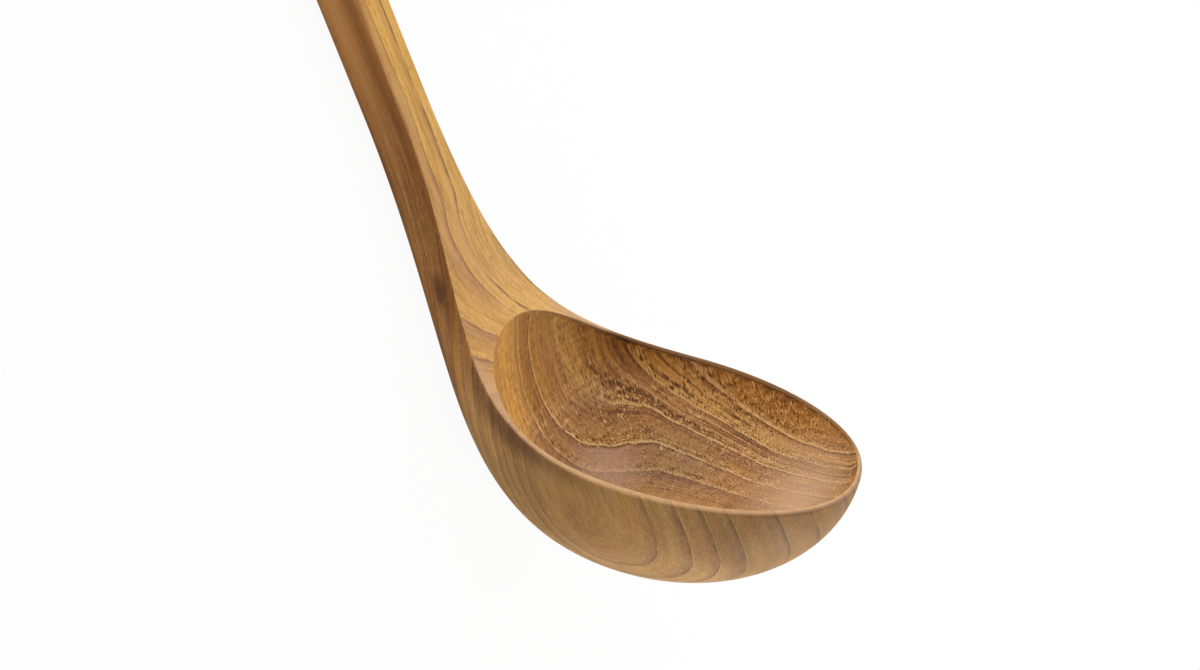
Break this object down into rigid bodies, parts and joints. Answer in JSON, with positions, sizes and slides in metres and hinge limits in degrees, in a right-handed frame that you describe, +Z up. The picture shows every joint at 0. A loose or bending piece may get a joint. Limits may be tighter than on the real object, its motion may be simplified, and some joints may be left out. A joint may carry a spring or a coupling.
{
  "type": "wooden ladle",
  "caption": "Ladle carved from one piece of teak: a deep oval bowl, a swept neck and a flat tapered handle with a hanging hole.",
  "frame": {"origin": "middle of the ladle's footprint on the table it lies on, at table height", "axes": "+X from the handle's end to the bowl, +Y across the bowl, +Z up; the ladle lies at rest on the back of its bowl and its handle's end"},
  "size_m": [0.3162, 0.088, 0.0869],
  "materials": {
    "wood": "smooth oiled teak, satin, grain along the handle"
  },
  "bodies": {
    "root": {"ladle": "wood"}
  },
  "joints": []
}
